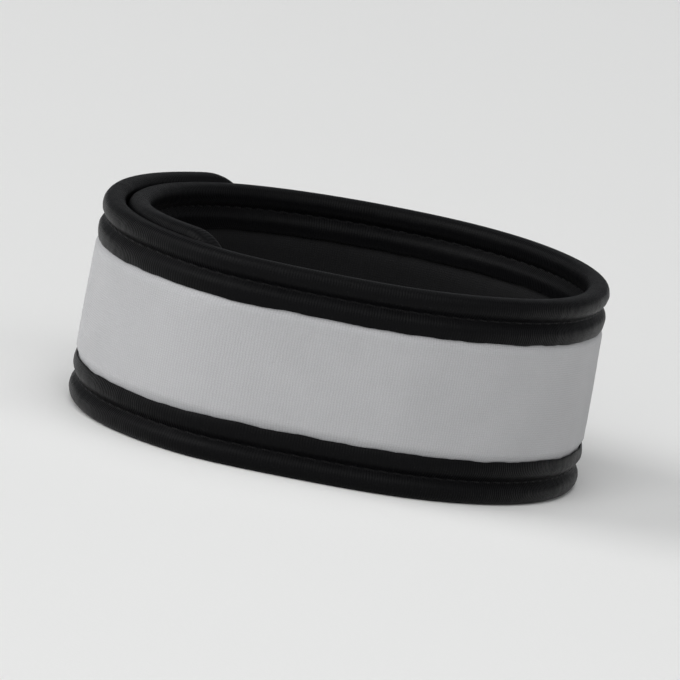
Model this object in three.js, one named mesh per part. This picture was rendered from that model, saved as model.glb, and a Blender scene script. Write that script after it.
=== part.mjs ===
// A bicep band: a soft strap with bound edges, closed round the upper arm by its overlapping ends.
// It stands on its lower edge, with the arm's axis along +Z, its front towards -Y and its closure
// towards -X, where the wearer's outer side is. Lengths are millimetres.
import * as THREE from "three";

// The strap, laid out flat
const STRAP_HEIGHT = 38;
const BINDING_LEG = 8; // how far the edge binding reaches over each face
const CORNER_RADIUS = 10; // the rounded corners of both ends
const CORE_THICKNESS = 1.8;
const STRIPE_THICKNESS = 1.0;
const BINDING_WALL = 1.05;
const FACE_GAP = 0.15; // between the core's faces and what covers them
const EDGE_GAP = 0.25; // between pieces that meet edge to edge

// The loop that the strap's middle surface follows, a rounded oval seen from above
const LOOP_HALF_BREADTH = 42.4;
const LOOP_HALF_DEPTH = 45.5;
const LOOP_SQUARENESS = 2.15; // 2 is an ellipse, and more is squarer
const INNER_END_X = -17.6; // where the inner end's tip lies, on the loop's front
const LOOP_STEPS = 48; // straight steps in one turn of the strap

// The overlap at the closure
const LAP_STEPS = 16; // steps by which the strap passes its own inner end
const LAYER_PITCH = 4.5; // from the inner layer's middle surface to the outer one's
const RAMP_LENGTH = 26; // the taut stretch that leaves the loop and climbs onto the inner end
const RAMP_LEAD = 2.5; // the climb is done this far before the tip
const RAMP_ROUNDING = 0.3; // softness of the bend where the strap turns over the tip
const INNER_END_RISE = 1.6; // the strap is done up a little askew, so both its ends stand higher
const INNER_RISE_LENGTH = 120; // from the inner end's tip to where the strap is level
const OUTER_END_RISE = 1;
const OUTER_RISE_START = 15; // past the inner end's tip
const OUTER_RISE_LENGTH = 45;
const PAD_LENGTH = 60;
const PAD_HEIGHT = 18;
const PAD_THICKNESS = 1.0;
const PAD_SETBACK = 22; // from the inner end's tip

const CORNER_STEPS = 6;

const CORE_HALF = CORE_THICKNESS / 2;
const SLOT_HALF = CORE_HALF + FACE_GAP; // the binding's slot, which holds the core's edge
const BINDING_HALF = SLOT_HALF + BINDING_WALL;
const NOSE_THICKNESS = 1.2; // binding beyond the core's edge
const CORE_INSET = NOSE_THICKNESS + EDGE_GAP;
const STRIPE_INSET = BINDING_LEG + EDGE_GAP;

// The binding's outer face, from the foot of its leg round to the flat nose that it stands on:
// how far in from the strap's edge, and how far out from its middle surface.
const BINDING_FACE = [
  { inset: BINDING_LEG, out: BINDING_HALF - 0.25 }, // foot of the leg
  { inset: BINDING_LEG - 0.5, out: BINDING_HALF }, // inner ridge
  { inset: 5.3, out: BINDING_HALF }, // inner ridge
  { inset: 4.2, out: BINDING_HALF - 0.4 }, // stitched groove
  { inset: 3.1, out: BINDING_HALF }, // outer ridge
  { inset: 1.3, out: BINDING_HALF }, // outer ridge
  { inset: 0.4, out: 1.6 }, // rounded edge
  { inset: 0, out: 0.9 }, // flat nose
];

// The closed oval, once round clockwise as seen from above, starting at the inner end's tip.
class Oval extends THREE.Curve {
  constructor() {
    super();
    this.arcLengthDivisions = 2000;
    const depth = LOOP_HALF_DEPTH * Math.pow(
      1 - Math.pow(Math.abs(INNER_END_X) / LOOP_HALF_BREADTH, LOOP_SQUARENESS),
      1 / LOOP_SQUARENESS,
    );
    this.startAngle = Math.atan2(-depth, INNER_END_X);
  }

  getPoint(t, target = new THREE.Vector3()) {
    const angle = this.startAngle - 2 * Math.PI * t;
    const x = Math.cos(angle);
    const y = Math.sin(angle);
    const reach = Math.pow(
      Math.pow(Math.abs(x) / LOOP_HALF_BREADTH, LOOP_SQUARENESS) +
        Math.pow(Math.abs(y) / LOOP_HALF_DEPTH, LOOP_SQUARENESS),
      -1 / LOOP_SQUARENESS,
    );
    return target.set(x * reach, y * reach, 0);
  }

  // The direction that points straight out of the oval at one of its points.
  outwardAt(point) {
    const power = LOOP_SQUARENESS - 1;
    return new THREE.Vector3(
      Math.sign(point.x) * Math.pow(Math.abs(point.x) / LOOP_HALF_BREADTH, power) / LOOP_HALF_BREADTH,
      Math.sign(point.y) * Math.pow(Math.abs(point.y) / LOOP_HALF_DEPTH, power) / LOOP_HALF_DEPTH,
      0,
    ).normalize();
  }
}

const oval = new Oval();
const LOOP_LENGTH = oval.getLength();
const STEP = LOOP_LENGTH / LOOP_STEPS;
const STRAP_LENGTH = LOOP_LENGTH + LAP_STEPS * STEP;

const RAMP_START = LOOP_LENGTH - RAMP_LEAD - RAMP_LENGTH;

// The smaller of two values, rounded where they cross.
function softMinimum(a, b, rounding) {
  return (a + b - Math.hypot(a - b, rounding)) / 2;
}

// How far out the strap lies from the oval: nothing on its first turn. Then it leaves the oval
// straight, which is a parabola measured from the curve, and bends over its inner end.
function layerOffset(along) {
  const climb = Math.max(0, (along - RAMP_START) / RAMP_LENGTH);
  const level = softMinimum(climb * climb, 1, RAMP_ROUNDING);
  return LAYER_PITCH * (level - softMinimum(0, 1, RAMP_ROUNDING));
}

// How much higher the strap lies towards its two ends.
function rise(along) {
  const innerEnd = Math.pow(Math.max(0, 1 - along / INNER_RISE_LENGTH), 2);
  const start = LOOP_LENGTH + OUTER_RISE_START;
  const outerEnd = THREE.MathUtils.smoothstep(along, start, start + OUTER_RISE_LENGTH);
  return INNER_END_RISE * innerEnd + OUTER_END_RISE * outerEnd;
}

// A point of the closed band, from its place on the flat strap: the distance along it from the
// inner end, the distance out from its middle surface, and the height over its lower edge.
function onBand(along, out, height) {
  const point = oval.getPointAt((along / LOOP_LENGTH) % 1);
  const outward = oval.outwardAt(point);
  point.addScaledVector(outward, layerOffset(along) + out);
  point.z = height + rise(along);
  return point;
}

// Sweeps a closed section along a list of stops. The place function gives the point of the band
// for a stop and a point of the section, whose x is out and whose y is up the strap or in from
// its edge.
function sweep(section, stops, place) {
  const geometry = new THREE.ExtrudeGeometry(new THREE.Shape(section), {
    steps: stops.length - 1,
    depth: stops.length - 1,
    bevelEnabled: false,
  });
  const position = geometry.getAttribute("position");
  for (let i = 0; i < position.count; i++) {
    const stop = stops[Math.round(position.getZ(i))];
    const point = place(stop, position.getX(i), position.getY(i));
    position.setXYZ(i, point.x, point.y, point.z);
  }
  geometry.deleteAttribute("uv");
  geometry.computeVertexNormals();
  return geometry;
}

// The stops of the strap's straight run, between the corners of its two ends. They are twice as
// close where it climbs onto the inner end.
function runStops() {
  const stops = [];
  for (let k = 0.5; k * STEP < STRAP_LENGTH - CORNER_RADIUS; k += 0.5) {
    const onClimb = k * STEP > RAMP_START && k * STEP < LOOP_LENGTH + 2 * STEP;
    if (k * STEP > CORNER_RADIUS && (Number.isInteger(k) || onClimb)) stops.push(k * STEP);
  }
  return stops;
}

// The angles through which a corner turns, as steps from 0 to a quarter turn.
function cornerAngles() {
  return Array.from({ length: CORNER_STEPS + 1 }, (_, i) => (i / CORNER_STEPS) * (Math.PI / 2));
}

// Stops for a layer that lies within the strap's outline, inset from it on all sides. Each gives
// the distance along, and half the layer's height there.
function layerStops(inset) {
  const radius = CORNER_RADIUS - inset;
  const halfHeight = STRAP_HEIGHT / 2 - inset;
  const corner = cornerAngles().map((angle) => ({
    along: CORNER_RADIUS - radius * Math.cos(angle),
    half: halfHeight - radius + radius * Math.sin(angle),
  }));
  const run = runStops().map((along) => ({ along, half: halfHeight }));
  const farCorner = corner
    .map(({ along, half }) => ({ along: STRAP_LENGTH - along, half }))
    .reverse();
  return [...corner, ...run, ...farCorner];
}

// A flat layer of the strap, between two distances from its middle surface.
function layer(inset, lowOut, highOut) {
  const section = [
    new THREE.Vector2(lowOut, -1),
    new THREE.Vector2(highOut, -1),
    new THREE.Vector2(highOut, 1),
    new THREE.Vector2(lowOut, 1),
  ];
  return sweep(section, layerStops(inset), (stop, out, side) =>
    onBand(stop.along, out, STRAP_HEIGHT / 2 + side * stop.half),
  );
}

// Stops for the binding tape, once round the strap: from its joint at the middle of the inner end
// down and along the lower edge, up the outer end and back along the upper edge. Each gives a
// point of the strap's outline, and the direction into the strap.
function edgeStops() {
  const joint = { along: 0, height: (STRAP_HEIGHT - EDGE_GAP) / 2, inAlong: 1, inUp: 0 };
  const corner = cornerAngles().map((angle) => ({
    along: CORNER_RADIUS * (1 - Math.cos(angle)),
    height: CORNER_RADIUS * (1 - Math.sin(angle)),
    inAlong: Math.cos(angle),
    inUp: Math.sin(angle),
  }));
  const run = runStops().map((along) => ({ along, height: 0, inAlong: 0, inUp: 1 }));
  const farCorner = corner
    .map((stop) => ({ ...stop, along: STRAP_LENGTH - stop.along, inAlong: -stop.inAlong }))
    .reverse();
  const lowerHalf = [joint, ...corner, ...run, ...farCorner];
  const upperHalf = lowerHalf
    .map((stop) => ({ ...stop, height: STRAP_HEIGHT - stop.height, inUp: -stop.inUp }))
    .reverse();
  return [...lowerHalf, ...upperHalf];
}

// The folded tape's section: its outer face, the same face mirrored, and the slot for the core.
// The slot's sides have a point half way up, so that they bend with the core round both ends.
function bindingSection() {
  const face = BINDING_FACE.map(({ inset, out }) => new THREE.Vector2(out, inset));
  const slotSide = [NOSE_THICKNESS, (NOSE_THICKNESS + BINDING_LEG) / 2, BINDING_LEG].map(
    (inset) => new THREE.Vector2(SLOT_HALF, inset),
  );
  const outerHalf = [...slotSide, ...face];
  const innerHalf = outerHalf.map(({ x, y }) => new THREE.Vector2(-x, y)).reverse();
  return [...outerHalf, ...innerHalf];
}

function edgeBinding() {
  return sweep(bindingSection(), edgeStops(), (stop, out, inset) =>
    onBand(stop.along + inset * stop.inAlong, out, stop.height + inset * stop.inUp),
  );
}

// The hook-and-loop patch, one plain piece in the space between the two layers.
function closurePad() {
  const innerFace = CORE_HALF + FACE_GAP + STRIPE_THICKNESS;
  const outerFace = LAYER_PITCH - CORE_HALF;
  const middleOut = (innerFace + outerFace) / 2;
  const padSteps = Math.round(PAD_LENGTH / STEP);
  const stops = Array.from({ length: padSteps + 1 }, (_, i) => PAD_SETBACK + (i / padSteps) * PAD_LENGTH);
  const section = [
    new THREE.Vector2(middleOut - PAD_THICKNESS / 2, -PAD_HEIGHT / 2),
    new THREE.Vector2(middleOut + PAD_THICKNESS / 2, -PAD_HEIGHT / 2),
    new THREE.Vector2(middleOut + PAD_THICKNESS / 2, PAD_HEIGHT / 2),
    new THREE.Vector2(middleOut - PAD_THICKNESS / 2, PAD_HEIGHT / 2),
  ];
  return sweep(section, stops, (along, out, up) =>
    onBand(along, out, STRAP_HEIGHT / 2 + up - rise(along)),
  );
}

function piece(name, geometry, material) {
  const mesh = new THREE.Mesh(geometry, material);
  mesh.name = name;
  return mesh;
}

const stripeLow = CORE_HALF + FACE_GAP;
const band = new THREE.Group();
band.name = "bicep_band";
band.add(
  piece(
    "strap_core",
    layer(CORE_INSET, -CORE_HALF, CORE_HALF),
    new THREE.MeshStandardMaterial({ color: 0x161618, roughness: 0.85, metalness: 0 }),
  ),
  piece(
    "grey_stripe",
    layer(STRIPE_INSET, stripeLow, stripeLow + STRIPE_THICKNESS),
    new THREE.MeshStandardMaterial({ color: 0xa8a9ab, roughness: 0.8, metalness: 0 }),
  ),
  piece(
    "edge_binding",
    edgeBinding(),
    new THREE.MeshStandardMaterial({ color: 0x101011, roughness: 0.7, metalness: 0 }),
  ),
  piece(
    "closure_pad",
    closurePad(),
    new THREE.MeshStandardMaterial({ color: 0x0d0d0e, roughness: 0.95, metalness: 0 }),
  ),
);

// The origin is on the floor, under the middle of the whole band.
const box = new THREE.Box3().setFromObject(band);
const middle = box.getCenter(new THREE.Vector3());
band.position.set(-middle.x, -middle.y, -box.min.z);

export default band;
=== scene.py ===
"""A bicep band: a soft strap with bound edges, closed in a loop and standing on its lower edge.

Lengths are millimetres until a mesh is made, and metres from there on. A point of the band is given
by its place on the flat strap: the distance along it from the inner end's tip, the distance out from
the strap's middle surface, and the height over its lower edge.
"""

import math
from typing import NamedTuple

import bpy
import numpy as np
from mathutils import Matrix, Vector


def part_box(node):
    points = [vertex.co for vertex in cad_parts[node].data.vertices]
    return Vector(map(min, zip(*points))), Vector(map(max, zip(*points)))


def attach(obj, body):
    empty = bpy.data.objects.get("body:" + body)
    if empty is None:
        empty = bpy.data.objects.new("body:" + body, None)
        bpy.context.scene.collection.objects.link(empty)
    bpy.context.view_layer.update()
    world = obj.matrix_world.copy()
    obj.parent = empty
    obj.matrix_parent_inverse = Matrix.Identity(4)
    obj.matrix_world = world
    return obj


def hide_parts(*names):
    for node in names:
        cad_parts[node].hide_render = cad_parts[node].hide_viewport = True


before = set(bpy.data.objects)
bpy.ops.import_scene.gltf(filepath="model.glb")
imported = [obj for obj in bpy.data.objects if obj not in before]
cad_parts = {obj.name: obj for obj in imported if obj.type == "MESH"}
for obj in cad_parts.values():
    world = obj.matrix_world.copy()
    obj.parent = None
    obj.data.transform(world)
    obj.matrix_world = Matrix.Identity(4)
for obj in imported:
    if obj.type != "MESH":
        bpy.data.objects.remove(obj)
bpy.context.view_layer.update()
MM = 0.001
TURN = 2 * math.pi


class Waves(NamedTuple):
    """A smooth random unevenness: its size, and the lengths of its shortest and longest waves."""

    seed: int
    size: float
    shortest: float
    longest: float


class Cloth(NamedTuple):
    """How a knitted cloth looks."""

    tone: tuple
    relief: float  # how deep its stitches are
    roughness: float
    sheen: float
    gloss: float
    course: float = 0.42  # from one row of stitches to the next
    rows: float = 0.55  # how deep the rows are next to the columns: with little it is a fine rib
    blotch: float = 0.05  # how much its tone changes from place to place


class Softbox(NamedTuple):
    """A square light that faces the band. Azimuth 0 is in front of it, and 90 on its right."""

    name: str
    azimuth: float
    elevation: float
    distance: float
    size: float
    power: float


# The strap, laid out flat
STRAP_HEIGHT = 38
STRAP_MIDDLE = STRAP_HEIGHT / 2
BINDING_LEG = 8  # how far the edge binding reaches over each face
CORNER_RADIUS = 10
CORE_HALF = 0.9  # half the core's thickness
CORE_INSET = 1.45  # from the strap's edge to the core's
BINDING_HALF = 2.1  # half the binding's thickness

# The loop that the strap's middle surface follows, and the overlap at the closure
LOOP_HALF_BREADTH = 42.4
LOOP_HALF_DEPTH = 45.5
LOOP_SQUARENESS = 2.15  # 2 is an ellipse, and more is squarer
INNER_END_X = -17.6  # where the inner end's tip lies, at the front of the loop
LAP_SHARE = 16 / 48  # the overlap, as a share of one turn
LAYER_PITCH = 4.5  # from the inner layer's middle surface to the outer one's
RAMP_LENGTH = 26  # the stretch that climbs onto the inner end
RAMP_LEAD = 2.5  # the climb ends this far before the tip
RAMP_ROUNDING = 0.3
INNER_END_RISE = 1.6
INNER_RISE_LENGTH = 120
OUTER_END_RISE = 1
OUTER_RISE_START = 15  # past the inner end's tip
OUTER_RISE_LENGTH = 45

# How the whole wall strays from true
WALL_LEAN = Waves(seed=55, size=0.6, shortest=80, longest=200)
LEAN_LEVEL = 0.4  # the height that stays in place as the wall leans, as a share of the strap's
EDGE_LIFT = Waves(seed=2, size=0.22, shortest=50, longest=140)

# The stripe
STRIPE_INSET = 7.5  # it runs on under the foot of the binding
STRIPE_BACK = 1.05  # its hidden face, out from the strap's middle surface
STRIPE_THICKNESS = 1
STRIPE_TUCKED = 1.42  # its front where the binding covers it
STRIPE_FRONT = 2.04
STRIPE_CROWN = 0.08  # how much further out it lies away from its edges
STRIPE_SWELLS = Waves(seed=4, size=0.07, shortest=16, longest=60)
STRIPE_RIPPLES = Waves(seed=5, size=0.02, shortest=3, longest=9)
PUCKER_SIZE = 0.035
PUCKER_DEPTH = 2.2  # in from the stripe's edge
PUCKER_BREADTH = 1.1
PUCKER_CHANGE = Waves(seed=3, size=0.5, shortest=5, longest=30)
TIP_SHOWS = 0.16  # how far the inner end's tip presses the stripe out
TIP_SHOWS_AT = 3.5  # past the tip
TIP_SHOWS_BREADTH = 4.5

# The core's inner face
CORE_FACE_EDGE = BINDING_LEG - 0.2  # in from the strap's edge, just under the binding's foot
CORE_SWELL = 0.8
PRESSED_SHARE = 0.12  # what is left of the swell where the face lies on the other layer
PRESSED_START = 12  # past the start of the climb
PRESSED_LENGTH = 10
CORE_CREASES = Waves(seed=11, size=0.06, shortest=3.2, longest=11)
CREASE_BENDS = Waves(seed=12, size=0.35, shortest=9, longest=30)
CORE_SWELLS = Waves(seed=13, size=0.08, shortest=14, longest=50)

# Sewing
STITCH_LINE = 4.2  # the groove between the binding's two ridges, in from the strap's edge
STITCH_PITCH = 2.6
STITCH_GAP = 0.07  # the share of the pitch at each end of a stitch that is down its hole
STITCH_LEAN = 0.09  # how far a stitch's ends lie to either side of the line
STITCH_ARCH = 0.13
STITCH_SINK = 0.02  # how far a stitch's ends press into the tape
THREAD_RADIUS = 0.14
THREAD_TWIST = 0.42  # the thread's length in one turn of its strands
HOLE_DEPTH = 0.16
MEAN_HOLE = 0.4  # about what needle_holes comes to on average
MEAN_PULL = 0.7  # the seam's pull on average, which random waves are added to
SEAM_PINCH = 0.5  # how far the seam draws each face of the core in
SEAM_BREADTH = 0.8

# The binding
TAPE_JOINT = 0.15  # half the gap where the tape meets itself
GROOVE_BREADTH = 0.75
SHOULDER_DISTANCE = 1.6  # from the groove to the middle of each ridge
SHOULDER_BREADTH = 1.1
SHOULDER_PULL = 0.05
FOOT_PULL = 0.05
SEAM_CHANGE = Waves(seed=21, size=0.5, shortest=4, longest=26)
RIDGE_WAVES = Waves(seed=23, size=0.035, shortest=5, longest=40)
TAPE_RIPPLES = Waves(seed=25, size=0.02, shortest=2.2, longest=6)
FOOT_WAVES = Waves(seed=27, size=0.11, shortest=6, longest=45)
GATHER_SIZE = 0.045
GATHER_PITCH = 1.5
GATHER_CHANGE = Waves(seed=31, size=0.8, shortest=3, longest=9)

# The closure's patch, between the layers
PAD_LENGTH = 60
PAD_HEIGHT = 18
PAD_SETBACK = 22  # from the inner end's tip
PAD_CORNER = 2.5
PAD_HALF = 0.48  # half its thickness
PAD_EDGE_HALF = 0.12
PAD_SEAM_DEPTH = 0.1
PAD_SEAM_INSET = 2
PAD_SEAM_BREADTH = 0.5
PAD_RIPPLES = Waves(seed=41, size=0.02, shortest=2, longest=8)

# Finish
WEAVE_MAP = "strap_mm"  # the map that holds each point's place on its cloth, in millimetres
WALE = 0.5  # from one column of knitted stitches to the next
FLECK = 0.05  # how much single stitches change a cloth's tone
GREY_CLOTH = Cloth(tone=(0.41, 0.41, 0.42), relief=0.06, roughness=0.72, sheen=0.35, gloss=0.35,
                   blotch=0.03)
BLACK_JERSEY = Cloth(tone=(0.007, 0.007, 0.0075), relief=0.07, roughness=0.65, sheen=0.015, gloss=0.1)
BINDING_CLOTH = Cloth(tone=(0.0028, 0.0028, 0.0032), relief=0.06, roughness=0.36, sheen=0.0,
                      gloss=0.06, course=0.4, rows=0.15)
THREAD_TONE = (0.005, 0.005, 0.0055)
PILE_TONE = (0.014, 0.014, 0.015)
FLOOR_TONE = (0.86, 0.86, 0.85)

# The studio, whose lengths are metres
SOFTBOXES = (
    Softbox("left", azimuth=-75, elevation=28, distance=6.0, size=4.5, power=205),
    Softbox("front", azimuth=0, elevation=28, distance=6.0, size=4.5, power=146),
    Softbox("right", azimuth=80, elevation=28, distance=6.0, size=4.5, power=62),
    Softbox("above", azimuth=0, elevation=60, distance=5.5, size=4.0, power=80),
    Softbox("behind", azimuth=170, elevation=70, distance=5.5, size=3.5, power=30),
)
AIR_COLOUR = (0.95, 0.97, 1, 1)
AIR_STRENGTH = 0.2
FLOOR_SIZE = 14

# The camera's view of the band in the photograph
VIEW_AZIMUTH = 8.9
VIEW_ELEVATION = 9.2
VIEW_ROLL = 10.9
VIEW_LENS = 900
VIEW_WIDTH = 124  # what the picture is wide at the band


def wander(waves, x, y=None, face=0):
    """A smooth random line over x, or surface over x and y, mostly within the waves' size.

    The two faces of the strap, 0 and 1, have waves of their own.
    """
    random = np.random.default_rng(waves.seed + face)
    count = 9
    total = 0
    for length in np.geomspace(waves.shortest, waves.longest, count):
        turned = 0 if y is None else random.uniform(0, math.pi)
        way = x * math.cos(turned) + (0 if y is None else y * math.sin(turned))
        total = total + np.sin(way * TURN / length + random.uniform(0, TURN))
    return waves.size * (total / math.sqrt(count * 1.5))


def fade_in(x, start, length):
    """0 up to the start, rising smoothly to 1 over the length."""
    t = np.clip((x - start) / length, 0, 1)
    return t * t * (3 - 2 * t)


def ridge(x, middle, breadth):
    """1 at the middle, falling smoothly to 0 on both sides of it."""
    return np.exp(-(((x - middle) / breadth) ** 2))


def soft_minimum(a, b, rounding):
    """The smaller of two values, rounded where they cross."""
    return (a + b - np.hypot(a - b, rounding)) / 2


class Oval:
    """The loop's plan, once round clockwise as seen from above, from the inner end's tip."""

    def __init__(self):
        across = abs(INNER_END_X) / LOOP_HALF_BREADTH
        depth = LOOP_HALF_DEPTH * (1 - across**LOOP_SQUARENESS) ** (1 / LOOP_SQUARENESS)
        start = math.atan2(-depth, INNER_END_X)
        self.angles = start - np.linspace(0, TURN, 4001)
        x, y = self.point(self.angles)
        self.reached = np.concatenate([[0], np.cumsum(np.hypot(np.diff(x), np.diff(y)))])
        self.length = self.reached[-1]

    def point(self, angle):
        x, y = np.cos(angle), np.sin(angle)
        sides = np.abs(x / LOOP_HALF_BREADTH) ** LOOP_SQUARENESS
        sides = sides + np.abs(y / LOOP_HALF_DEPTH) ** LOOP_SQUARENESS
        reach = sides ** (-1 / LOOP_SQUARENESS)
        return x * reach, y * reach

    def at(self, along):
        """Points at distances along the oval, and the directions that lead straight out of it."""
        x, y = self.point(np.interp(np.mod(along, self.length), self.reached, self.angles))
        power = LOOP_SQUARENESS - 1
        out_x = np.sign(x) * np.abs(x / LOOP_HALF_BREADTH) ** power / LOOP_HALF_BREADTH
        out_y = np.sign(y) * np.abs(y / LOOP_HALF_DEPTH) ** power / LOOP_HALF_DEPTH
        size = np.hypot(out_x, out_y)
        return x, y, out_x / size, out_y / size


OVAL = Oval()
LOOP_LENGTH = OVAL.length
STRAP_LENGTH = LOOP_LENGTH * (1 + LAP_SHARE)
RAMP_START = LOOP_LENGTH - RAMP_LEAD - RAMP_LENGTH


def layer_offset(along):
    """How far out the strap lies from the oval, where it climbs onto its inner end and beyond."""
    climb = np.maximum(0, (along - RAMP_START) / RAMP_LENGTH)
    level = soft_minimum(climb**2, 1, RAMP_ROUNDING) - soft_minimum(0, 1, RAMP_ROUNDING)
    return LAYER_PITCH * level


def rise(along):
    """How much higher the strap lies towards its two ends, which are done up a little askew."""
    inner_end = np.maximum(0, 1 - along / INNER_RISE_LENGTH) ** 2
    outer_end = fade_in(along, LOOP_LENGTH + OUTER_RISE_START, OUTER_RISE_LENGTH)
    return INNER_END_RISE * inner_end + OUTER_END_RISE * outer_end


def on_oval(along, out, height):
    """Points of the closed band, with the oval's centre at x = y = 0."""
    along, out, height = np.broadcast_arrays(along, out, height)
    x, y, out_x, out_y = OVAL.at(along)
    level = height / STRAP_HEIGHT
    lean = wander(WALL_LEAN, x, y) * (level - LEAN_LEVEL)
    reach = layer_offset(along) + out + lean
    lift = wander(EDGE_LIFT, x, y) * level**2
    return np.stack([x + out_x * reach, y + out_y * reach, height + rise(along) + lift], axis=-1)


def oval_centre():
    """Where the oval's centre lies in the frame, whose origin is under the middle of the band."""
    face = on_oval(np.linspace(0, STRAP_LENGTH, 2001), BINDING_HALF, 0)
    low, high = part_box("edge_binding")
    middle = np.array((low + high) / 2) / MM
    shift = middle - (face.min(axis=0) + face.max(axis=0)) / 2
    shift[2] = 0
    return shift


OVAL_CENTRE = oval_centre()


def on_band(along, out, height):
    """Points of the closed band, in the frame."""
    return on_oval(along, out, height) + OVAL_CENTRE


def smooth_curve(points, steps):
    """A curve through a list of points: a Catmull-Rom spline, with that many steps to a span."""
    points = np.array(points, float)
    padded = np.vstack([2 * points[0] - points[1], points, 2 * points[-1] - points[-2]])
    curve = []
    for before, here, there, after in zip(padded, padded[1:], padded[2:], padded[3:]):
        for t in np.arange(steps) / steps:
            bend = (2 * before - 5 * here + 4 * there - after) * t**2
            bend = bend + (3 * here - before - 3 * there + after) * t**3
            curve.append((2 * here + (there - before) * t + bend) / 2)
    return np.array(curve + [points[-1]])


def new_object(name, mesh):
    mesh.validate()
    mesh.shade_smooth()
    piece = bpy.data.objects.new(name, mesh)
    bpy.context.scene.collection.objects.link(piece)
    return piece


def swept_mesh(name, points, along, across):
    """A closed mesh over a grid of points, in rows that each go once round a section.

    along gives each row's distance along the cloth, and across each point's distance across it,
    with one column more than the points, where the section closes.
    """
    rows, columns = points.shape[:2]
    index = np.arange(rows * columns).reshape(rows, columns)
    after = np.roll(index, -1, axis=1)
    quads = np.stack([index[:-1], after[:-1], after[1:], index[1:]], axis=-1).reshape(-1, 4)
    caps = [index[0][::-1].tolist(), index[-1].tolist()]
    mesh = bpy.data.meshes.new(name)
    mesh.from_pydata((points.reshape(-1, 3) * MM).tolist(), [], quads.tolist() + caps)
    u = np.broadcast_to(np.asarray(along)[:, None], (rows, columns + 1))
    v = np.broadcast_to(across, (rows, columns + 1))
    place = np.stack([u, v], axis=-1)
    corners = [place[:-1, :-1], place[:-1, 1:], place[1:, 1:], place[1:, :-1]]
    on_quads = np.stack(corners, axis=2).reshape(-1, 2)
    on_caps = np.concatenate([place[0, :-1][::-1], place[-1, :-1]])
    layer = mesh.uv_layers.new(name=WEAVE_MAP)
    layer.uv.foreach_set("vector", np.concatenate([on_quads, on_caps]).astype(np.float32).ravel())
    return new_object(name, mesh)


def closed_across(heights):
    """A layer's places across the cloth, with the first column again where the section closes."""
    return np.hstack([heights, heights[:, :1]])


def layer_stops(inset, spacing, corner_steps=9):
    """Distances along a layer that is inset from the strap's outline, and half its height there."""
    radius = CORNER_RADIUS - inset
    half = STRAP_MIDDLE - inset
    angle = np.linspace(0, math.pi / 2, corner_steps)
    corner = CORNER_RADIUS - radius * np.cos(angle)
    corner_half = half - radius + radius * np.sin(angle)
    count = round((STRAP_LENGTH - 2 * CORNER_RADIUS) / spacing)
    run = np.linspace(CORNER_RADIUS, STRAP_LENGTH - CORNER_RADIUS, count)[1:-1]
    along = np.concatenate([corner, run, STRAP_LENGTH - corner[::-1]])
    halves = np.concatenate([corner_half, np.full(len(run), half), corner_half[::-1]])
    return along[:, None], halves[:, None]


def depth_inside(inset, along, height):
    """How deep a point of the strap lies inside a line that is inset from its rounded outline."""
    side = CORNER_RADIUS - np.minimum(height, STRAP_HEIGHT - height)
    end = CORNER_RADIUS - np.minimum(along, STRAP_LENGTH - along)
    past_corner_centre = np.hypot(np.maximum(side, 0), np.maximum(end, 0))
    short_of_it = np.minimum(np.maximum(side, end), 0)
    return CORNER_RADIUS - past_corner_centre - short_of_it - inset


def crowded(columns):
    """Places from -1 to 1, closer together towards both ends."""
    return np.sin(np.linspace(-1, 1, columns) * math.pi / 2)


def stripe_front(along, height):
    """How far out the stripe's front lies: flat in the middle, and puckered along its edges."""
    depth = depth_inside(STRIPE_INSET, along, height)
    out = STRIPE_TUCKED + (STRIPE_FRONT - STRIPE_TUCKED) * fade_in(depth, start=0.55, length=1.5)
    out = out + STRIPE_CROWN * fade_in(depth, start=0, length=8)
    pucker = np.cos(TURN * along / STITCH_PITCH) * (MEAN_PULL + wander(PUCKER_CHANGE, along))
    out = out + PUCKER_SIZE * pucker * ridge(depth, PUCKER_DEPTH, PUCKER_BREADTH)
    out = out + wander(STRIPE_SWELLS, along, height) * fade_in(depth, start=0, length=5)
    out = out + wander(STRIPE_RIPPLES, along, height) * fade_in(depth, start=0, length=3)
    over_tip = ridge(along - LOOP_LENGTH, TIP_SHOWS_AT, TIP_SHOWS_BREADTH)
    return out + TIP_SHOWS * fade_in(depth, start=0, length=3) * over_tip


def grey_face():
    """The stripe: cloth drawn flat between the bound edges."""
    along, half = layer_stops(STRIPE_INSET, spacing=0.65)
    front_height = STRAP_MIDDLE + crowded(columns=44) * half
    back_height = STRAP_MIDDLE + np.linspace(1, -1, num=7) * half
    back_out = np.full_like(back_height, STRIPE_BACK)
    out = np.hstack([stripe_front(along, front_height), back_out])
    heights = np.hstack([front_height, back_height])
    return swept_mesh("grey_face", on_band(along, out, heights), along[:, 0], closed_across(heights))


def seam_pinch(along, height):
    """How far the seam draws in a face of the core."""
    return SEAM_PINCH * ridge(depth_inside(0, along, height), STITCH_LINE, SEAM_BREADTH)


def core_swell(along, height):
    """How far the core's inner face swells between the bound edges, creased as it bends."""
    depth = depth_inside(CORE_FACE_EDGE, along, height)
    free = 1 - fade_in(along, RAMP_START + PRESSED_START, PRESSED_LENGTH)
    pressed = PRESSED_SHARE + (1 - PRESSED_SHARE) * free
    swell = CORE_SWELL * fade_in(depth, start=0, length=2.2) * pressed
    creases = wander(CORE_CREASES, along + wander(CREASE_BENDS, height))
    swell = swell + creases * fade_in(depth, start=0, length=3) * free
    return swell + wander(CORE_SWELLS, along, height) * fade_in(depth, start=0, length=4) * free


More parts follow.
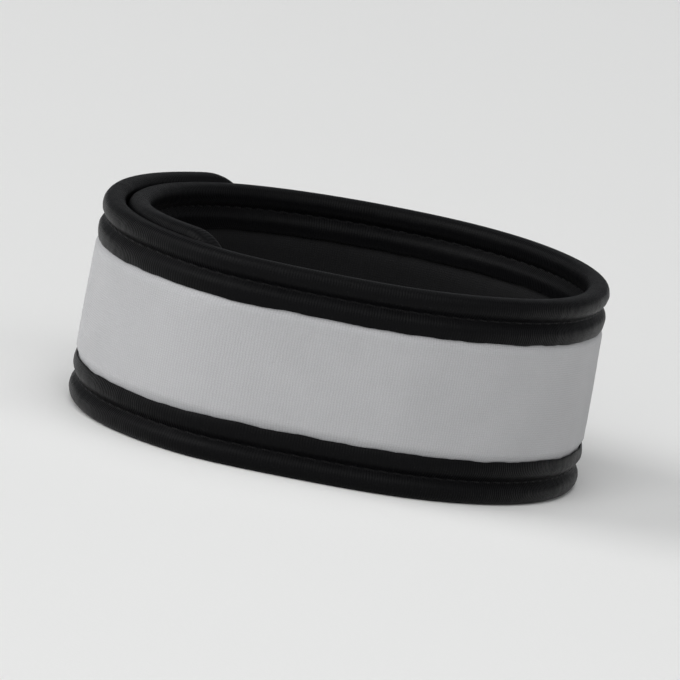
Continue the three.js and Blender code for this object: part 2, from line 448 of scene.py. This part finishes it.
def foam_core():
    """The strap's body, with a plain outer face under the stripe and a soft inner one."""
    along, half = layer_stops(CORE_INSET, spacing=0.9, corner_steps=20)
    front_height = STRAP_MIDDLE + crowded(columns=40) * half
    back_height = STRAP_MIDDLE + crowded(columns=40)[::-1] * half
    front_out = CORE_HALF - seam_pinch(along, front_height)
    back_out = seam_pinch(along, back_height) - CORE_HALF - core_swell(along, back_height)
    out = np.hstack([front_out, back_out])
    heights = np.hstack([front_height, back_height])
    return swept_mesh("foam_core", on_band(along, out, heights), along[:, 0], closed_across(heights))


def outline_stops(spacing):
    """Stops once round the strap's outline, from the middle of the inner end down and onward.

    Each is a point of the outline (along, height), the direction into the strap, and the distance
    reached, which is measured on the stitch line.
    """
    length, height, radius = STRAP_LENGTH, STRAP_HEIGHT, CORNER_RADIUS

    def line(start, end, inward):
        count = max(2, round(math.dist(start, end) / spacing))
        t = np.arange(count)[:, None] / count
        place = np.array(start) + (np.array(end) - start) * t
        return np.hstack([place, np.broadcast_to(inward, place.shape)])

    def corner(centre, first):
        count = round((radius - STITCH_LINE) * math.pi / 2 / spacing)
        angle = math.radians(first) + math.pi / 2 * np.arange(count)[:, None] / count
        way = np.hstack([np.cos(angle), np.sin(angle)])
        return np.hstack([np.array(centre) + radius * way, -way])

    pieces = [
        line((0, height / 2 - TAPE_JOINT), (0, radius), (1, 0)),
        corner((radius, radius), 180),
        line((radius, 0), (length - radius, 0), (0, 1)),
        corner((length - radius, radius), 270),
        line((length, radius), (length, height - radius), (-1, 0)),
        corner((length - radius, height - radius), 0),
        line((length - radius, height), (radius, height), (0, -1)),
        corner((radius, height - radius), 90),
        line((0, height - radius), (0, height / 2 + TAPE_JOINT), (1, 0)),
        np.array([[0, height / 2 + TAPE_JOINT, 1, 0]]),
    ]
    stops = np.vstack(pieces)
    sewn = stops[:, :2] + STITCH_LINE * stops[:, 2:]
    reached = np.concatenate([[0], np.cumsum(np.hypot(*np.diff(sewn, axis=0).T))])
    return stops, reached


# The binding's outer face, from the nose at the strap's edge to the foot of its leg, as distances
# in from the edge and out from the middle surface. The inner face mirrors it.
TAPE_FACE = (
    (0.0, 0.4),
    (0.13, 1.02),
    (0.5, 1.6),
    (1.15, 1.98),
    (2.0, 2.12),
    (2.75, 2.0),
    (3.35, 1.66),
    (3.85, 1.2),
    (STITCH_LINE, 0.98),
    (4.55, 1.18),
    (5.05, 1.62),
    (5.65, 1.98),
    (6.4, 2.12),
    (7.3, 2.05),
    (8.0, 1.88),
    (8.2, 1.72),
    (8.05, 1.6),
    (7.3, 1.56),
)

# The tape's hidden side, from the foot of the leg back to the edge
TAPE_SLOT = ((7.1, 1.08), (5.2, 0.98), (STITCH_LINE, 0.54), (3.2, 0.98), (1.25, 0.98))


def tape_section():
    """The folded tape's section, once round: in from the edge, and out from the middle surface."""
    outer = np.vstack([smooth_curve(TAPE_FACE, 2), TAPE_SLOT])
    inner = (outer * [1, -1])[::-1]
    return np.vstack([outer, inner])


def stitch_count(seam_length):
    return round(seam_length / STITCH_PITCH)


def needle_holes(reached, seam_length):
    """1 at each hole of the seam and 0 half way between two."""
    turn = TURN * stitch_count(seam_length) / seam_length
    return (0.5 + 0.5 * np.cos(turn * reached)) ** 2


def tape_relief(reached, inset, out, face):
    """The tape's section at each stop, with the seam's pull and the unevenness of folded cloth.

    face is 0 for the strap's outer face and 1 for its inner one.
    """
    holes = needle_holes(reached, reached[-1])[:, None]
    reached = reached[:, None]
    shown = fade_in(np.abs(out), start=1.2, length=0.4)
    groove = ridge(inset, STITCH_LINE, GROOVE_BREADTH)
    shoulders = ridge(np.abs(inset - STITCH_LINE), SHOULDER_DISTANCE, SHOULDER_BREADTH)
    foot = fade_in(inset, start=6, length=2)
    pull = MEAN_PULL + wander(SEAM_CHANGE, reached, face=face)
    change = -HOLE_DEPTH * holes * groove * pull
    change = change - SHOULDER_PULL * (holes - MEAN_HOLE) * shoulders * pull
    change = change + wander(RIDGE_WAVES, reached, face=face) * shoulders
    change = change + wander(TAPE_RIPPLES, reached, inset, face=face)
    shift = wander(FOOT_WAVES, reached, face=face) * foot
    shift = shift - FOOT_PULL * holes * foot * pull
    grown = np.abs(out) + change * shown
    return inset + shift, np.sign(out) * grown


def gathers(stops, reached, inset, out):
    """Small radial folds where the tape is eased round the strap's corners."""
    reached = reached[:, None]
    turning = np.abs(stops[:, 2] * stops[:, 3])[:, None] * 2
    shown = fade_in(np.abs(out), start=1.3, length=0.4)
    place = fade_in(inset, start=3.6, length=2) * (1 - fade_in(inset, start=7.6, length=0.6))
    fold = np.cos(TURN * reached / GATHER_PITCH + wander(GATHER_CHANGE, reached))
    return np.sign(out) * GATHER_SIZE * fold * fade_in(turning, start=0, length=1) * shown * place


def edge_tape():
    """The binding: one folded tape round the whole strap, whose ends meet at the inner end."""
    stops, reached = outline_stops(spacing=0.7)
    section = tape_section()
    inset, out = section[:, 0][None], section[:, 1][None]
    outer_inset, outer_out = tape_relief(reached, inset, out, face=0)
    inner_inset, inner_out = tape_relief(reached, inset, out, face=1)
    moved_inset = np.where(out > 0, outer_inset, inner_inset)
    moved_out = np.where(out > 0, outer_out, inner_out)
    moved_out = moved_out + gathers(stops, reached, inset, out)
    along = stops[:, :1] + moved_inset * stops[:, 2:3]
    height = stops[:, 1:2] + moved_inset * stops[:, 3:4]
    round_it = np.vstack([section, section[:1]])
    across = np.concatenate([[0], np.cumsum(np.hypot(*np.diff(round_it, axis=0).T))])
    return swept_mesh("edge_tape", on_band(along, moved_out, height), reached, across[None])


def groove_out(reached, seam_length):
    """How far out the bottom of the sewn groove lies."""
    face = np.array(TAPE_FACE)
    bottom = face[face[:, 0] == STITCH_LINE][0, 1]
    return bottom - HOLE_DEPTH * needle_holes(reached, seam_length)


def stitches(name, side):
    """The seam's thread on the outer face (side 1) or the inner face (side -1), stitch by stitch."""
    stops, reached = outline_stops(spacing=0.3)
    seam_length = reached[-1]
    count = stitch_count(seam_length)
    rings, sides = 7, 8
    share = np.linspace(STITCH_GAP, 1 - STITCH_GAP, rings)
    sewn = (np.arange(count)[:, None] + share) * seam_length / count
    centre = np.stack([np.interp(sewn, reached, stops[:, i]) for i in range(4)], axis=-1)
    arch = np.sin(math.pi * np.linspace(0, 1, rings))
    lean = STITCH_LEAN * np.linspace(-1, 1, rings) * side
    thickness = THREAD_RADIUS * np.sqrt(0.25 + 0.75 * arch)
    lift = groove_out(sewn, seam_length) + STITCH_ARCH * arch - STITCH_SINK
    angle = TURN * np.arange(sides) / sides
    inset = STITCH_LINE + lean[:, None] + thickness[:, None] * np.cos(angle)
    out = side * (lift[:, :, None] + thickness[:, None] * np.sin(angle))
    along = centre[..., 0:1] + inset * centre[..., 2:3]
    height = centre[..., 1:2] + inset * centre[..., 3:4]
    points = on_band(along, out, height)
    around = THREAD_RADIUS * angle
    return stitch_mesh(name, points, sewn, around, facing=side)


def stitch_mesh(name, points, sewn, around, facing):
    """One mesh of many short tubes: points is stitches by rings by sides."""
    count, rings, sides = points.shape[:3]
    index = np.arange(count * rings * sides).reshape(count, rings, sides)
    after = np.roll(index, -1, axis=2)
    quads = np.stack([index[:, :-1], after[:, :-1], after[:, 1:], index[:, 1:]], axis=-1)
    ends = [index[:, 0, ::-1], index[:, -1]]
    if facing > 0:
        quads = quads[..., ::-1]
        ends = [end[:, ::-1] for end in ends]
    faces = quads.reshape(-1, 4).tolist() + ends[0].tolist() + ends[1].tolist()
    mesh = bpy.data.meshes.new(name)
    mesh.from_pydata((points.reshape(-1, 3) * MM).tolist(), [], faces)
    place = np.stack(np.broadcast_arrays(sewn[:, :, None], around), axis=-1).reshape(-1, 2)
    corner = np.zeros(len(mesh.loops), int)
    mesh.loops.foreach_get("vertex_index", corner)
    layer = mesh.uv_layers.new(name=WEAVE_MAP)
    layer.uv.foreach_set("vector", place[corner].astype(np.float32).ravel())
    return new_object(name, mesh)


def fastening():
    """The hook-and-loop patch, pressed between the two layers, with a seam round its edge."""
    end = np.linspace(0, math.pi / 2, 8)
    corner = PAD_CORNER * (1 - np.cos(end))
    corner_half = PAD_HEIGHT / 2 - PAD_CORNER * (1 - np.sin(end))
    run = np.linspace(PAD_CORNER, PAD_LENGTH - PAD_CORNER, 70)[1:-1]
    along = np.concatenate([corner, run, PAD_LENGTH - corner[::-1]])[:, None]
    half = np.concatenate([corner_half, np.full(len(run), PAD_HEIGHT / 2), corner_half[::-1]])
    side = crowded(columns=28)
    heights = STRAP_MIDDLE + np.hstack([side, side[::-1]]) * half[:, None]
    edge = PAD_HEIGHT / 2 - np.abs(heights - STRAP_MIDDLE)
    edge = np.minimum(edge, np.minimum(along, PAD_LENGTH - along))
    thickness = PAD_EDGE_HALF + (PAD_HALF - PAD_EDGE_HALF) * fade_in(edge, start=0, length=0.8)
    thickness = thickness - PAD_SEAM_DEPTH * ridge(edge, PAD_SEAM_INSET, PAD_SEAM_BREADTH)
    thickness = thickness + wander(PAD_RIPPLES, along, heights)
    middle = (STRIPE_BACK + STRIPE_THICKNESS + LAYER_PITCH - CORE_HALF) / 2
    out = middle + thickness * np.where(np.arange(heights.shape[1]) < len(side), 1, -1)
    points = on_band(along + PAD_SETBACK, out, heights - rise(along + PAD_SETBACK))
    return swept_mesh("fastening", points, along[:, 0], closed_across(heights))


class Nodes:
    """Builds one material's nodes."""

    def __init__(self, name):
        self.material = bpy.data.materials.new(name)
        self.material.use_nodes = True
        self.tree = self.material.node_tree
        self.shader = next(n for n in self.tree.nodes if n.type == "BSDF_PRINCIPLED")

    def add(self, kind, inputs=(), **settings):
        node = self.tree.nodes.new(kind)
        for key, value in settings.items():
            setattr(node, key, value)
        for key, value in dict(inputs).items():
            self.set(node.inputs[key], value)
        return node

    def set(self, socket, value):
        if isinstance(value, bpy.types.NodeSocket):
            self.tree.links.new(value, socket)
        else:
            socket.default_value = value

    def math(self, operation, a, b=0.0, c=0.0):
        inputs = {0: a, 1: b, 2: c}
        return self.add("ShaderNodeMath", inputs, operation=operation).outputs[0]

    def span(self, value, low, high, to_low, to_high):
        """value's stretch from low to high, spread over to_low to to_high."""
        inputs = {"Value": value, "From Min": low, "From Max": high}
        inputs.update({"To Min": to_low, "To Max": to_high})
        return self.add("ShaderNodeMapRange", inputs).outputs["Result"]

    def noise(self, vector, scale, detail=2.0, roughness=0.5):
        inputs = {"Vector": vector, "Scale": scale, "Detail": detail, "Roughness": roughness}
        return self.add("ShaderNodeTexNoise", inputs).outputs["Fac"]

    def cloth_place(self):
        """The point's place on its cloth, in millimetres: as a vector, along, and across."""
        place = self.add("ShaderNodeUVMap", uv_map=WEAVE_MAP).outputs["UV"]
        parts = self.add("ShaderNodeSeparateXYZ", {"Vector": place})
        return place, parts.outputs["X"], parts.outputs["Y"]

    def colour(self, tone, factor):
        """A colour times a factor. A mix node has sockets of the same name, so it takes numbers."""
        share, first, second, result = 0, 6, 7, 2
        inputs = {share: 1.0, first: (*tone, 1), second: factor}
        mix = self.add("ShaderNodeMix", inputs, data_type="RGBA", blend_type="MULTIPLY")
        return mix.outputs[result]

    def bump(self, height, distance):
        inputs = {"Height": height, "Distance": distance * MM, "Strength": 1.0}
        return self.add("ShaderNodeBump", inputs).outputs["Normal"]

    def finish(self, **inputs):
        for key, value in inputs.items():
            self.set(self.shader.inputs[key.replace("_", " ")], value)
        return self.material


def knit(nodes, place, along, across, cloth):
    """The height, from 0 to 1, of a plain knit: columns of V-shaped stitches."""
    stray = nodes.noise(place, scale=0.6)
    stray = nodes.math("MULTIPLY_ADD", stray, 0.35, -0.17)
    column = nodes.math("DIVIDE", nodes.math("ADD", along, stray), WALE)
    from_middle = nodes.math("ABSOLUTE", nodes.math("SUBTRACT", nodes.math("FRACT", column), 0.5))
    fall = nodes.math("MULTIPLY", nodes.math("POWER", from_middle, 2.0), 4.0)
    rounded = nodes.math("SUBTRACT", 1.0, fall)
    row = nodes.math("DIVIDE", nodes.math("ADD", across, stray), cloth.course)
    row = nodes.math("ADD", row, from_middle)
    legs = nodes.math("SINE", nodes.math("MULTIPLY", row, TURN))
    legs = nodes.math("MULTIPLY_ADD", legs, 0.5, 0.5)
    return nodes.math("MULTIPLY", rounded, nodes.math("MULTIPLY_ADD", legs, cloth.rows, 1 - cloth.rows))


def cloth_material(name, cloth):
    """Knitted cloth: stitches, with painted shade in their hollows and a slight painted highlight on
    their crowns, a little uneven yarn, and soft blotches where it has been handled.
    """
    nodes = Nodes(name)
    place, along, across = nodes.cloth_place()
    height = knit(nodes, place, along, across, cloth)
    blotches = nodes.noise(place, scale=0.09, detail=3)
    blotches = nodes.span(blotches, 0.3, 0.7, 1 - cloth.blotch, 1 + cloth.blotch)
    flecks = nodes.noise(place, scale=3.5, detail=2)
    flecks = nodes.span(flecks, 0.25, 0.75, 1 - FLECK, 1 + FLECK)
    shade = nodes.math("MULTIPLY", blotches, flecks)
    # Painted shade in the knit's hollows and a slight painted highlight on its crowns: the tone follows
    # the stitches' height
    shade = nodes.math("MULTIPLY", shade, nodes.span(height, 0, 1, 0.86, 1.05))
    colour = nodes.colour(cloth.tone, shade)
    fuzz = nodes.noise(place, scale=6.0, detail=3, roughness=0.6)
    surface = nodes.math("MULTIPLY_ADD", fuzz, 0.35, height)
    rough = nodes.noise(place, scale=0.3, detail=2)
    rough = nodes.span(rough, 0.3, 0.7, cloth.roughness - 0.04, cloth.roughness + 0.04)
    return nodes.finish(
        Base_Color=colour,
        Roughness=rough,
        Normal=nodes.bump(surface, cloth.relief),
        Sheen_Weight=cloth.sheen,
        Sheen_Roughness=0.45,
        Specular_IOR_Level=cloth.gloss,
    )


def thread_material():
    """Twisted black thread, with painted shade between its strands and a painted highlight on their
    crowns.
    """
    nodes = Nodes("sewing_thread")
    _, along, around = nodes.cloth_place()
    forward = nodes.math("MULTIPLY", along, TURN / THREAD_TWIST)
    twist = nodes.math("ADD", forward, nodes.math("DIVIDE", around, THREAD_RADIUS))
    strands = nodes.math("SINE", twist)
    return nodes.finish(
        # Painted shade between the strands and a painted highlight on their crowns: the tone follows
        # the twist's relief
        Base_Color=nodes.colour(THREAD_TONE, nodes.span(strands, -1, 1, 0.7, 1.2)),
        Roughness=0.4,
        Normal=nodes.bump(strands, 0.03),
        Specular_IOR_Level=0.15,
    )


def fastening_material():
    """The loops of a hook-and-loop patch."""
    nodes = Nodes("loop_pile")
    place, _, _ = nodes.cloth_place()
    loops = nodes.add("ShaderNodeTexVoronoi", {"Vector": place, "Scale": 2.4}).outputs["Distance"]
    return nodes.finish(
        Base_Color=nodes.colour(PILE_TONE, nodes.span(loops, 0, 0.6, 1.5, 0.5)),
        Roughness=0.85,
        Normal=nodes.bump(loops, 0.3),
        Sheen_Weight=0.3,
    )


def floor_material():
    """Matte pale paper."""
    nodes = Nodes("pale_floor")
    place = nodes.add("ShaderNodeTexCoord").outputs["Object"]
    shade = nodes.span(nodes.noise(place, scale=3.0, detail=3), 0.3, 0.7, 0.985, 1.0)
    grain = nodes.noise(place, scale=900.0, detail=2)
    return nodes.finish(
        Base_Color=nodes.colour(FLOOR_TONE, shade),
        Roughness=0.75,
        Normal=nodes.bump(grain, 0.05),
        Specular_IOR_Level=0.3,
    )


def dress(piece, material):
    """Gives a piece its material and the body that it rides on."""
    piece.data.materials.append(material)
    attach(piece, "root")
    return piece


def build_band():
    grey = cloth_material("grey_cloth", GREY_CLOTH)
    jersey = cloth_material("black_jersey", BLACK_JERSEY)
    tape = cloth_material("binding_cloth", BINDING_CLOTH)
    thread = thread_material()

    core = dress(foam_core(), jersey)
    face = dress(grey_face(), grey)
    binding = dress(edge_tape(), tape)
    seams = [
        dress(stitches("seam_outside", 1), thread),
        dress(stitches("seam_inside", -1), thread),
    ]
    patch = dress(fastening(), fastening_material())

    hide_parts("strap_core")
    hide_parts("grey_stripe")
    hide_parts("edge_binding")
    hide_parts("closure_pad")


def direction(azimuth, elevation):
    """The way from the band to a place round it. Azimuth 0 is in front of it."""
    a, e = math.radians(azimuth), math.radians(elevation)
    return Vector((math.sin(a) * math.cos(e), -math.cos(a) * math.cos(e), math.sin(e)))


def area_light(box):
    data = bpy.data.lights.new(box.name, "AREA")
    data.shape = "SQUARE"
    data.size = box.size
    data.energy = box.power
    light = bpy.data.objects.new(box.name, data)
    place = direction(box.azimuth, box.elevation) * box.distance
    light.location = place
    light.rotation_euler = (-place).to_track_quat("-Z", "Y").to_euler()
    bpy.context.scene.collection.objects.link(light)


def build_studio():
    bpy.ops.mesh.primitive_plane_add(size=FLOOR_SIZE)
    floor = bpy.context.active_object
    floor.name = "studio_floor"
    floor.data.materials.append(floor_material())

    for box in SOFTBOXES:
        area_light(box)

    world = bpy.data.worlds.new("studio_air")
    world.use_nodes = True
    background = world.node_tree.nodes["Background"]
    background.inputs["Color"].default_value = AIR_COLOUR
    background.inputs["Strength"].default_value = AIR_STRENGTH
    bpy.context.scene.world = world
    bpy.context.scene.view_settings.view_transform = "Standard"


def build_camera():
    """The photograph's view: from a little above and to the right, turned as the arm leans."""
    data = bpy.data.cameras.new("camera")
    data.lens = VIEW_LENS
    camera = bpy.data.objects.new("camera", data)
    back = direction(VIEW_AZIMUTH, VIEW_ELEVATION)
    distance = VIEW_WIDTH * MM * VIEW_LENS / data.sensor_width
    target = Vector((0, 0, STRAP_MIDDLE * MM))
    camera.location = target + back * distance
    look = (-back).to_track_quat("-Z", "Y").to_matrix()
    roll = Matrix.Rotation(math.radians(VIEW_ROLL), 3, "Z")
    camera.rotation_euler = (look @ roll).to_euler()
    data.clip_start, data.clip_end = 0.1, 60
    bpy.context.scene.collection.objects.link(camera)
    bpy.context.scene.camera = camera


build_camera()
build_studio()
build_band()
